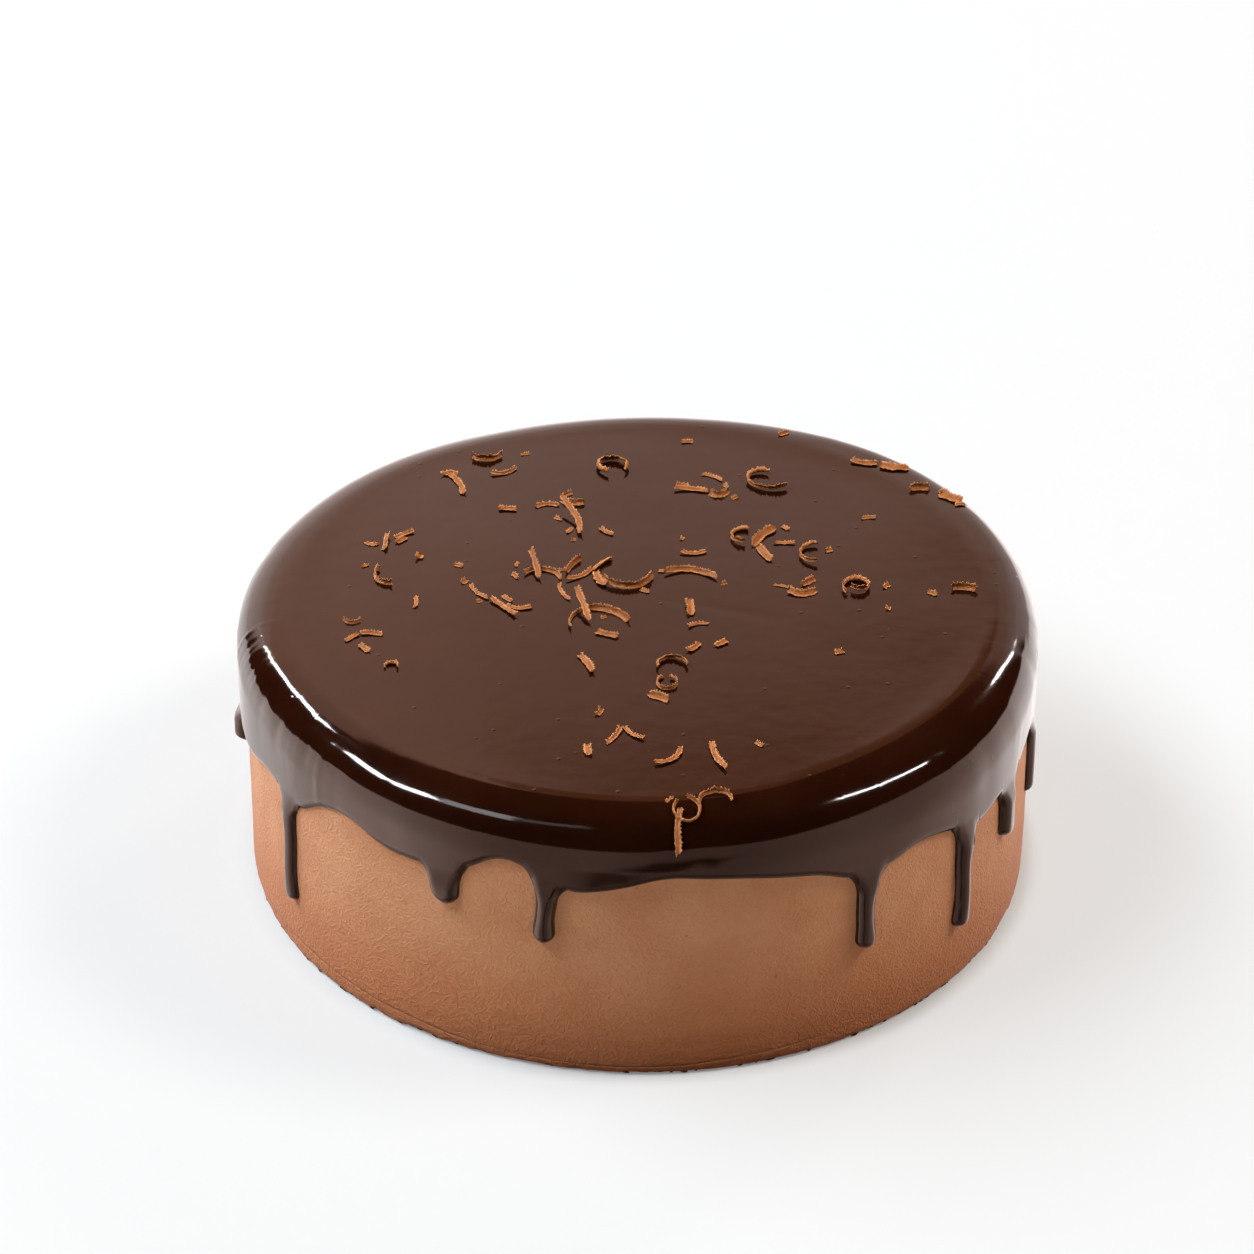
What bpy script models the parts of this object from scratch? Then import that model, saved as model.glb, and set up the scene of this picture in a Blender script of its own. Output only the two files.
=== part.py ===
"""Fudge cake: a round cake in a buttercream coat, under a poured fudge glaze that runs down its side.

Two solids: the coated cake, and the glaze with the larger chocolate curls fused on. Lengths in this
file are in millimetres. The cake stands on z = 0 about the Z axis, and azimuth 0 is its front, at -Y.
"""

import math

import bmesh
import bpy
import numpy as np

MM = 0.001
OBJECT_NAME = "fudge_cake"

# The cake in its buttercream coat.
CAKE_RADIUS = 104.3
CAKE_HEIGHT = 73.0
CAKE_SHOULDER = 10.0
CAKE_SIDES = 96
FOOT_BAND_HEIGHT = 8.0
FOOT_BAND_STEP = 0.2
FOOT_CHAMFER = 0.9
SHOULDER_ANGLES = (45, 90)

# The glaze: a skin over the cake's top and shoulder, with a rounded free edge.
GAP = 0.3
HEIGHT = 76.0
SKIRT = 1.5
DRIP_THICKNESS = 2.7
EDGE_THICKNESS = 0.45
EDGE_ROUNDING = 2.6
GLAZE_SHOULDER_ANGLES = (34, 61, 90)
SHOULDER_HEIGHT = CAKE_HEIGHT - CAKE_SHOULDER
INNER_RADIUS = CAKE_RADIUS + GAP
OUTER_RADIUS = INNER_RADIUS + SKIRT
TOP_ROUNDING = HEIGHT - SHOULDER_HEIGHT
RIM_RUN = TOP_ROUNDING * math.pi / 2 + OUTER_RADIUS - TOP_ROUNDING
WAVES = ((3, 40, 0.30), (5, 110, 0.22), (8, 10, 0.15))

# The glaze's edge between its drips, as (azimuth in degrees, height), softened over a few degrees.
EDGE = (
    (-171, 55), (-161, 60), (-150, 54), (-140, 51), (-130, 56), (-120, 59), (-110, 53), (-101, 50),
    (-89, 48), (-78, 46), (-72, 46), (-65, 50), (-55, 48), (-50, 55), (-44, 58), (-37, 54), (-31, 54),
    (-24, 56), (-19, 63), (-16, 62), (-9, 55), (-3, 57), (4, 61), (14, 59), (20, 57), (26, 55), (30, 51),
    (37, 51), (42, 54), (47, 52), (56, 46), (60, 48), (69, 49), (75, 52), (86, 50), (94, 55), (104, 57),
    (113, 52), (123, 50), (133, 56), (142, 58), (152, 52), (162, 50), (172, 57),
)
EDGE_SOFTENING = (-2, -1, 0, 1, 2)
EDGE_STEP = 4.0
EDGE_ROWS = (0, 0.8, 2.6)
MOUTH_RISE = 1.0
BEND_RISE = 0.5

# Each drip: azimuth, height of its tip, half its width.
DRIPS = (
    (-166, 26, 2.9), (-146, 41, 3.2), (-135, 20, 2.8), (-115, 36, 3.0), (-95, 40, 3.3), (-84.5, 36, 2.8),
    (-58.2, 17, 2.8), (-27, 44.5, 3.5), (-12.4, 39.5, 2.9), (33.2, 28, 3.0), (52.2, 18, 2.9),
    (65.3, 32, 3.4), (80.5, 28, 2.9), (99, 43, 3.4), (117.5, 22, 2.9), (137, 38, 3.0), (157, 16, 2.8),
    (179, 34, 3.2),
)
NECK = 0.86
FLARE = 1.15
FLARE_RUN = 0.9
FILL_RUN = 1.5
MOST_ROUNDING = 0.6
FIRST_COLUMN = 0.3
TIP_COLUMN = 0.6

# Curls lying on the glaze: x, y, heading at the middle, length, bend, width of the band, lean of the band
# from flat (0) to on edge (90), and how far the start is lifted above the glaze.
CURLS = (
    (-43, 71, 10, 10.5, 110, 2.6, 65, 0), (-38, 63.5, 28, 9, 90, 1.4, 20, 0),
    (-50.5, 56.5, -66, 12, -35, 2.2, 10, 0), (-53, 62, 10, 5, -120, 2.2, 0, 0),
    (-36.5, 43.5, 0, 5.5, -20, 2.2, 0, 0), (-26, 46, 9, 7.5, -80, 1.8, 20, 0),
    (-18.5, 38.5, -69, 17, -35, 2.2, 20, 3), (-19, 47.5, -10, 7, 45, 2.6, 35, 0),
    (-21, 51, 60, 5.5, -80, 1.8, 30, 0), (-9.5, 32.5, -40, 5.5, 60, 1.8, 0, 0),
    (-72.5, 24.5, -9, 4.7, 120, 1.2, 0, 0), (-68.5, 25, -96, 8.5, 0, 2.0, 15, 0),
    (-64, 29.5, 31, 6.5, 0, 1.5, 0, 0), (-64.5, 26.5, 46, 4.2, 0, 2.2, 0, 0),
    (-69, 7.5, -58, 11, 130, 2.2, 60, 0), (-59, -4.5, -87, 6, -55, 1.3, 0, 0),
    (-43, 1, -55, 10, 85, 1.3, 10, 0), (-36, -6.5, -50, 11, 0, 1.8, 0, 0),
    (-32, -6.5, -5, 8, 100, 1.6, 0, 0), (-28, 12.5, -78, 11, -25, 2.0, 10, 3),
    (-25.5, 11, -15, 14.5, -150, 1.8, 40, 0), (-20.5, 1.5, -73, 9.5, 50, 1.2, 0, 0),
    (-18.5, 14.5, 64, 9, -60, 2.2, 50, 0), (-16, 10, 41, 10, 65, 1.4, 20, 0),
    (-10.5, 15.5, -125, 9, 55, 2.2, 10, 0), (-11, 8, -67, 8, 45, 2.6, 0, 0),
    (-3, 6, 12, 17, 150, 2.6, 55, 0), (-17.5, -11, 75, 12, -75, 1.4, 60, 0),
    (-8, -8, -28, 14.5, -70, 2.6, 30, 0), (-15, -7.5, -74, 12.5, 0, 2.0, 5, 4),
    (-8.5, -19, -23, 6.7, 0, 2.2, 0, 0), (-13.5, -33, -68, 9.5, -20, 2.2, 0, 0),
    (-75, -14, 0, 7, 180, 1.2, 60, 0), (-69.5, -20, -4, 6.5, -20, 1.8, 0, 0),
    (-74.5, -22, 51, 5.5, 0, 1.4, 0, 0), (-71, -27, -56, 4.7, 0, 2.0, 0, 0),
    (-6, -65.5, 65, 9, 38, 1.6, 0, 0), (-1.5, -64.5, -50, 8.5, 70, 1.6, 0, 0),
    (-12.5, -72, -89, 5, 0, 2.6, 0, 0), (13.5, 55, -7, 10, -20, 2.0, 0, 0),
    (21, 53, 7, 7, 130, 2.6, 40, 0), (19.5, 62, -31, 7.5, -70, 1.2, 0, 0),
    (61.5, 70, -12, 8, 60, 2.2, 0, 0), (69.5, 67.5, -8, 8.5, 40, 3.4, 0, 0),
    (76, 56.5, 9, 6, -80, 3.0, 45, 0), (84, 51.5, -35, 7, 0, 3.2, 20, 0),
    (32.5, 30.5, 53, 12, -60, 3.4, 15, 0), (33, 22, -66, 8.5, 0, 2.8, 10, 0),
    (38.5, 27.5, 0, 6.5, 0, 1.2, 0, 0), (14, 22, 5, 8, 60, 1.4, 0, 0),
    (13.5, 12, -10, 16.5, -85, 2.4, 25, 0), (43, 2.5, 4, 9, 110, 2.6, 20, 0),
    (44.5, 8, 48, 5.5, 0, 2.4, 30, 0), (86, 5.5, -5, 7.6, -70, 2.8, 45, 0),
    (13, -5.5, 95, 8, 10, 3.0, 0, 0), (15, -13.5, 15, 6.5, -90, 1.2, 0, 0),
    (14, -24.5, 53, 5.5, 25, 2.2, 0, 0), (21, -22.5, 41, 4.5, 10, 2.2, 0, 0),
    (5, -48, -28, 6.5, -20, 3.0, 15, 0), (8, -75, 43, 11.5, 100, 1.7, 0, 0),
    (19.5, -74.5, -67, 12.5, 35, 2.0, 0, 0), (10, -102, -88, 12, 20, 2.0, 0, 0),
    (18.5, -91, 11, 14.5, -190, 1.8, 50, 0),
)

# Curls rolled into rings: the same values, with how much the roll opens along it in place of the lift.
ROLLS = (
    (-8.5, 67.5, 15, 22.5, -300, 2.4, 80, 0.0), (33, 59.5, -60, 22, 260, 2.0, 80, 0.5),
    (26, 31, -100, 12.5, 210, 1.9, 80, 0.0), (44.5, 22, -90, 14.5, 190, 1.7, 80, 0.0),
    (57, 6, 160, 20, 380, 2.0, 80, 0.4), (8, -31.5, 10, 15, -220, 1.7, 75, 0.0),
    (7, -41.5, 0, 14.5, 330, 1.4, 60, 0.0), (-63.5, -35, 180, 7, 240, 1.3, 75, 0.0),
    (12, -96.5, 200, 19, -330, 1.6, 55, 0.0),
)
CURL_THICKNESS = 0.8
CURL_SINK = 0.3
CURL_END = 0.5
SECTION_LENGTH = 6.0
SECTION_BEND = 40.0
SHARP_ANGLE = math.radians(40)

# Each finish: colour, roughness.
BUTTERCREAM = ((0.42, 0.21, 0.11, 1), 0.7)
GLAZE = ((0.045, 0.017, 0.010, 1), 0.2)


def plain_material(name, look):
    """A material of one colour and roughness."""
    colour, roughness = look
    material = bpy.data.materials.new(name)
    material.use_nodes = True
    shader = material.node_tree.nodes["Principled BSDF"]
    shader.inputs["Base Color"].default_value = colour
    shader.inputs["Roughness"].default_value = roughness
    shader.inputs["Metallic"].default_value = 0.0
    return material


def new_object(name, points, edges, faces, collection):
    """An object in the collection with this mesh, its points given in millimetres."""
    mesh = bpy.data.meshes.new(name)
    mesh.from_pydata((np.asarray(points) * MM).tolist(), edges, faces)
    obj = bpy.data.objects.new(name, mesh)
    collection.objects.link(obj)
    return obj


def loft(name, rows, collection):
    """A closed solid through rings of points, one ring to a row, with a flat face over each end."""
    count, around = rows.shape[:2]
    ring = np.arange(around)
    faces = [ring.tolist(), (ring + (count - 1) * around).tolist()]
    for k in range(count - 1):
        low, high = ring + k * around, ring + (k + 1) * around
        faces += np.stack([low, np.roll(low, -1), np.roll(high, -1), high], axis=1).tolist()
    obj = new_object(name, rows.reshape(-1, 3), [], faces, collection)
    shell = bmesh.new()
    shell.from_mesh(obj.data)
    bmesh.ops.recalc_face_normals(shell, faces=shell.faces)
    shell.to_mesh(obj.data)
    shell.free()
    return obj


def cake_profile():
    """Radius and height down the coated cake's outside, from the top's centre to the foot's."""
    centre = CAKE_RADIUS - CAKE_SHOULDER
    profile = [(0, CAKE_HEIGHT)]
    for angle in reversed((0,) + SHOULDER_ANGLES):
        turn = math.radians(angle)
        across, up = CAKE_SHOULDER * math.cos(turn), CAKE_SHOULDER * math.sin(turn)
        profile.append((centre + across, SHOULDER_HEIGHT + up))
    foot = CAKE_RADIUS + FOOT_BAND_STEP
    profile += [(CAKE_RADIUS, FOOT_BAND_HEIGHT + FOOT_BAND_STEP), (foot, FOOT_BAND_HEIGHT)]
    return profile + [(foot, FOOT_CHAMFER), (foot - FOOT_CHAMFER, 0), (0, 0)]


def make_cake(collection):
    """The cake with its coat: the profile turned about the Z axis."""
    profile = [(across, 0, height) for across, height in cake_profile()]
    edges = [(i, i + 1) for i in range(len(profile) - 1)]
    cake = new_object("cake_body", profile, edges, [], collection)
    screw = cake.modifiers.new("turn", "SCREW")
    screw.steps = CAKE_SIDES
    screw.render_steps = CAKE_SIDES
    screw.use_merge_vertices = True
    screw.merge_threshold = 0.01 * MM
    cake.data.materials.append(plain_material("buttercream", BUTTERCREAM))
    return cake


def wave(azimuth):
    """The glaze's uneven thickness round its shoulder and side."""
    return sum(size * np.sin(np.radians(count * azimuth + phase)) for count, phase, size in WAVES)


def over_cake(azimuth, run, share, lift=0.0):
    """Points of the skin over the cake: run is the way up from the shoulder's start, measured over the
    glaze, share goes from the skin's inner face (0) to its outer face (1), and lift is off that face."""
    angle = np.clip(run / TOP_ROUNDING, 0, math.pi / 2)
    inner = CAKE_SHOULDER + GAP
    across = np.cos(angle)
    up = np.sin(angle)
    inner_radius = INNER_RADIUS - inner + inner * across
    outer_radius = OUTER_RADIUS - TOP_ROUNDING + TOP_ROUNDING * across
    off = lift + wave(azimuth) * across * share
    radius = inner_radius + (outer_radius - inner_radius) * share + off * across
    radius = radius - np.maximum(run - TOP_ROUNDING * math.pi / 2, 0)
    height = SHOULDER_HEIGHT + (inner + (TOP_ROUNDING - inner) * share + off) * up + np.minimum(run, 0)
    turn = np.radians(azimuth)
    return np.stack(np.broadcast_arrays(radius * np.sin(turn), -radius * np.cos(turn), height), axis=-1)


def edge_height(azimuth):
    """Height of the glaze's edge line, which the drips run down from."""
    around, height = np.array(EDGE, float).T
    near = [np.interp(azimuth + step, around, height, period=360) for step in EDGE_SOFTENING]
    return np.mean(near, axis=0)


def drip_half_width(below, half_width):
    """Half the width of a drip at a distance below the edge line: a neck that flares out towards the line."""
    return half_width * (NECK + FLARE * np.exp(-below / (FLARE_RUN * half_width)))


def drip_columns(azimuth, tip, half_width):
    """One drip's columns, left to right. Each has the drip's azimuth and half width, its share of that
    width where it starts and at the edge line, how far below the line it starts, and the line's height."""
    length = edge_height(azimuth) - tip
    rounding = min(half_width, MOST_ROUNDING * length)
    neck = length - rounding
    start = np.array([0, FIRST_COLUMN * rounding, neck / 2, neck, neck + TIP_COLUMN * rounding, length])
    share = np.sqrt(1 - np.clip((start - neck) / rounding, 0, 1) ** 2)
    spread = np.linspace(1, 0, len(start))
    side = np.array([-1] * len(start) + [1] * (len(start) - 1))
    order = list(range(len(start))) + list(range(len(start) - 1))[::-1]
    start, share, spread = start[order], share[order] * side, spread[order] * side
    mouth = np.degrees(spread * drip_half_width(0, half_width) / INNER_RADIUS)
    line = edge_height(azimuth + mouth * (1 - start / length))
    same = np.ones(len(order))
    return np.stack([azimuth * same, half_width * same, share, spread, start, line], axis=1)


def edge_columns(start, end):
    """The columns between two drips, which start on the edge line."""
    count = int((end - start) / EDGE_STEP)
    azimuth = np.linspace(start, end, count + 2)[1:-1]
    nothing = np.zeros(count)
    return np.stack([azimuth, nothing + 1, nothing, nothing, nothing, edge_height(azimuth)], axis=1)


def glaze_columns():
    """The columns all round the glaze, in order of azimuth."""
    columns = []
    for k, drip in enumerate(DRIPS):
        after = DRIPS[(k + 1) % len(DRIPS)]
        wrap = 360 if k + 1 == len(DRIPS) else 0
        start = drip[0] + math.degrees(drip_half_width(0, drip[2]) / INNER_RADIUS)
        end = after[0] - math.degrees(drip_half_width(0, after[2]) / INNER_RADIUS) + wrap
        columns += [drip_columns(*drip), edge_columns(start, end)]
    return np.vstack(columns)


def column_points(columns, below):
    """Azimuth and height of points on the columns, at these distances below the edge line."""
    azimuth, half_width, share, spread, start, line = columns.T
    along = np.clip(below / np.maximum(start, 0.001), 0, 1)
    across = (spread + (share - spread) * along) * drip_half_width(np.maximum(below, 0), half_width)
    return azimuth + np.degrees(across / INNER_RADIUS), line - below


def distance_to_edge(azimuth, height, edge):
    """Distance over the cake's side from each point to the glaze's edge, given as azimuths and heights."""
    scale = (INNER_RADIUS * math.radians(1), 1)
    turn = 2 * math.pi * INNER_RADIUS
    start = np.stack(edge, axis=1) * scale
    run = np.roll(start, -1, axis=0) - start
    run[-1, 0] += turn
    to = (np.stack([azimuth, height], axis=-1) * scale)[..., None, :] - start
    to[..., 0] -= turn * np.round(to[..., 0] / turn)
    along = np.clip((to * run).sum(axis=-1) / (run * run).sum(axis=-1), 0, 1)
    return np.linalg.norm(to - along[..., None] * run, axis=-1).min(axis=-1)


def glaze_share(columns, below, azimuth, height, edge):
    """The glaze's thickness as a share of its skirt's: rounded off at its edge, and fuller in the drips."""
    fuller = np.clip(below / (FILL_RUN * columns[:, 1]), 0, 1)
    full = 1 + (DRIP_THICKNESS / SKIRT - 1) * fuller * fuller * (3 - 2 * fuller)
    inside = np.clip(distance_to_edge(azimuth, height, edge) / EDGE_ROUNDING, 0, 1)
    edge_share = EDGE_THICKNESS / SKIRT
    return edge_share + (full - edge_share) * np.sqrt(1 - (1 - inside) ** 2)


def make_glaze(collection):
    """The glaze, lofted from its outer top over the shoulder and down to its edge, and back up inside."""
    columns = glaze_columns()
    start = columns[:, 4]
    edge = column_points(columns, start)
    mouth = column_points(columns, start * 0)[0]
    upper = np.minimum(start - EDGE_ROWS[-1], 0) - MOUTH_RISE
    middle = 0.5 * (start - EDGE_ROWS[-1] + upper)
    outer = []
    for below in [start - rise for rise in EDGE_ROWS] + [middle, upper]:
        azimuth, height = column_points(columns, below)
        share = glaze_share(columns, below, azimuth, height, edge)
        outer.append(over_cake(azimuth, height - SHOULDER_HEIGHT, share))
    bend = np.maximum(columns[:, 5] - upper + BEND_RISE - SHOULDER_HEIGHT, 0)
    outer.append(over_cake(mouth, bend, 1.0))
    for angle in GLAZE_SHOULDER_ANGLES:
        outer.append(over_cake(mouth, TOP_ROUNDING * math.radians(angle), 1.0))
    inner = []
    for below in (start, middle, upper):
        azimuth, height = column_points(columns, below)
        inner.append(over_cake(azimuth, height - SHOULDER_HEIGHT, 0.0))
    inner.append(over_cake(mouth, bend, 0.0))
    for angle in SHOULDER_ANGLES:
        inner.append(over_cake(mouth, TOP_ROUNDING * math.radians(angle), 0.0))
    glaze = loft("fudge_glaze", np.array(outer[::-1] + inner), collection)
    glaze.data.materials.append(plain_material("fudge_glaze", GLAZE))
    return glaze


def curl(name, values, opening, collection):
    """One curl of chocolate: a band carried along a bent path laid over the glaze."""
    x, y, heading, length, bend, band, lean, lift = values
    sections = 3 + int(length / SECTION_LENGTH + abs(bend) / SECTION_BEND)
    along = np.linspace(0, 1, sections)
    turned = heading + bend * (along - 0.5 + opening * (along - along**2 - 0.25))
    step = np.radians(0.5 * (turned[1:] + turned[:-1]))
    path = np.zeros((sections, 2))
    path[1:] = np.cumsum(np.stack([np.cos(step), np.sin(step)], axis=1), axis=0) * length / (sections - 1)
    path += (x, y) - path.mean(axis=0)
    turned, lean = np.radians(turned), math.radians(lean)
    left = np.stack([-np.sin(turned), np.cos(turned)], axis=1)
    width = band * (CURL_END + (1 - CURL_END) * np.sqrt(np.sin(math.pi * along)))
    base = width / 2 * math.sin(lean) + CURL_THICKNESS / 2 * math.cos(lean) - CURL_SINK + lift * (1 - along)
    ring = []
    for across, through in ((-0.5, -0.5), (0.5, -0.5), (0.5, 0.5), (-0.5, 0.5)):
        side = across * width * math.cos(lean) - through * CURL_THICKNESS * math.sin(lean)
        off = across * width * math.sin(lean) + through * CURL_THICKNESS * math.cos(lean)
        plan = path + side[:, None] * left
        out = np.hypot(*plan.T)
        azimuth = np.degrees(np.arctan2(plan[:, 0], -plan[:, 1]))
        ring.append(over_cake(azimuth, RIM_RUN - out, 1.0, base + off))
    return loft(name, np.array(ring).transpose(1, 0, 2), collection)


def fuse(target, pieces):
    """Join the collection's solids into the target with one union, and remove them."""
    union = target.modifiers.new("fuse", "BOOLEAN")
    union.operation = "UNION"
    union.operand_type = "COLLECTION"
    union.collection = pieces
    union.solver = "MANIFOLD"
    graph = bpy.context.evaluated_depsgraph_get()
    joined = bpy.data.meshes.new_from_object(target.evaluated_get(graph))
    target.modifiers.remove(union)
    target.data = joined
    for piece in list(pieces.objects):
        bpy.data.objects.remove(piece)
    bpy.data.collections.remove(pieces)


def make_fudge_cake():
    """The whole cake."""
    for obj in list(bpy.data.objects):
        bpy.data.objects.remove(obj)
    parts = bpy.data.collections.new(OBJECT_NAME)
    curls = bpy.data.collections.new("curls")
    for collection in (parts, curls):
        bpy.context.scene.collection.children.link(collection)
    cake = make_cake(parts)
    glaze = make_glaze(parts)
    for k, values in enumerate(CURLS):
        curl(f"curl_{k}", values, 0.0, curls)
    for k, values in enumerate(ROLLS):
        curl(f"roll_{k}", values[:-1] + (0,), values[-1], curls)
    fuse(glaze, curls)
    for obj in (cake, glaze):
        obj.data.shade_smooth()
        obj.data.set_sharp_from_angle(angle=SHARP_ANGLE)


make_fudge_cake()
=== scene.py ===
"""Fudge cake: the looks of a round cake in a buttercream coat, with a poured fudge glaze and curls on top.

Lengths are in millimetres until a mesh is made, and in metres for the floor, lights and camera. The cake
stands on z = 0 about the Z axis, and azimuth 0 is its front, at -Y, with +X on the right.
"""
import math

import bpy
import numpy as np
from mathutils import Matrix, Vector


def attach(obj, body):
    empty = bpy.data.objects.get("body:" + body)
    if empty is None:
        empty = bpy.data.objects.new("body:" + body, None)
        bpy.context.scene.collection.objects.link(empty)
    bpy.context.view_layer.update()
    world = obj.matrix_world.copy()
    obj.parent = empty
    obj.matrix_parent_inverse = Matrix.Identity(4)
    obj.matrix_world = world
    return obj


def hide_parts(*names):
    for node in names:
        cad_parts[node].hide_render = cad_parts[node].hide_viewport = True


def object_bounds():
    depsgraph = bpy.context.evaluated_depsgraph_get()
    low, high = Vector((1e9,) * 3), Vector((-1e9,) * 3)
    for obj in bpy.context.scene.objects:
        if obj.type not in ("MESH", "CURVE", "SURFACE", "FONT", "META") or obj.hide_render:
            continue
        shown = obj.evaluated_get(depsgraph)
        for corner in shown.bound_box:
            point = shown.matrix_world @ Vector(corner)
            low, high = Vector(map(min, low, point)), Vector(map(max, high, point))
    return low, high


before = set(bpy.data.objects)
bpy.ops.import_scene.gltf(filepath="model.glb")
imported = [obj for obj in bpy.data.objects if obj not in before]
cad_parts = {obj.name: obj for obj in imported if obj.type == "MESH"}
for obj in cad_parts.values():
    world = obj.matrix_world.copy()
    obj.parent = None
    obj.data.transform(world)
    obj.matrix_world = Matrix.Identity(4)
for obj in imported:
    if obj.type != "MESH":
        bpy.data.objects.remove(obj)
CAD_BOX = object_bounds()
MM = 0.001

# The coated cake, as in the part.
CAKE_RADIUS = 104.3
CAKE_HEIGHT = 73.0
CAKE_SHOULDER = 10.0
FOOT_CHAMFER = 0.9

# The glaze's skin, as in the part.
HEIGHT = 76.0
INNER_RADIUS = CAKE_RADIUS + 0.3
SKIRT = 1.5
OUTER_RADIUS = INNER_RADIUS + SKIRT
DRIP_THICKNESS = 2.7
SHOULDER_HEIGHT = CAKE_HEIGHT - CAKE_SHOULDER
TOP_ROUNDING = HEIGHT - SHOULDER_HEIGHT
TOP_RUN = TOP_ROUNDING * math.pi / 2
RIM_RUN = TOP_RUN + OUTER_RADIUS - TOP_ROUNDING
WAVES = ((3, 40, 0.3), (5, 110, 0.22), (8, 10, 0.15))
EDGE = (
    (-171, 55), (-161, 60), (-150, 54), (-140, 51), (-130, 56), (-120, 59), (-110, 53), (-101, 50),
    (-89, 48), (-78, 46), (-72, 46), (-65, 50), (-55, 48), (-50, 55), (-44, 58), (-37, 54), (-31, 54),
    (-24, 56), (-19, 63), (-16, 62), (-9, 55), (-3, 57), (4, 61), (14, 59), (20, 57), (26, 55), (30, 51),
    (37, 51), (42, 54), (47, 52), (56, 46), (60, 48), (69, 49), (75, 52), (86, 50), (94, 55), (104, 57),
    (113, 52), (123, 50), (133, 56), (142, 58), (152, 52), (162, 50), (172, 57),
)
EDGE_SOFTENING = (-2, -1, 0, 1, 2)

# The rim of the glaze as poured: azimuth, rounding of the shoulder, and how far it rises over the even top.
RIM = (
    (-180, 14.1, 0.15), (-160, 15.8, -0.15), (-140, 12.8, -0.05), (-120, 12.3, 0.1), (-100, 9.5, 0),
    (-80, 11.5, 0), (-60, 12.8, -0.05), (-20, 13, -0.1), (20, 13.5, 0), (45, 15.5, 0.2), (65, 14, 0.15),
    (80, 11.5, 0.25), (100, 8.8, 0.4), (120, 7.3, 0.7), (140, 8.5, 0.55), (160, 11.8, 0.5),
)
RIM_SOFTENING = (-9, -6, -3, 0, 3, 6, 9)

# Each drip, as in the part: azimuth, height of its tip, half its width.
DRIPS = (
    (-166, 26, 2.9), (-146, 41, 3.2), (-135, 20, 2.8), (-115, 36, 3), (-95, 40, 3.3), (-84.5, 36, 2.8),
    (-58.2, 17, 2.8), (-27, 44.5, 3.5), (-12.4, 39.5, 2.9), (33.2, 28, 3), (52.2, 18, 2.9), (65.3, 32, 3.4),
    (80.5, 28, 2.9), (99, 43, 3.4), (117.5, 22, 2.9), (137, 38, 3), (157, 16, 2.8), (179, 34, 3.2),
)
NECK = 0.82
FLARE = 1.15
FLARE_RUN = 0.9

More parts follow.
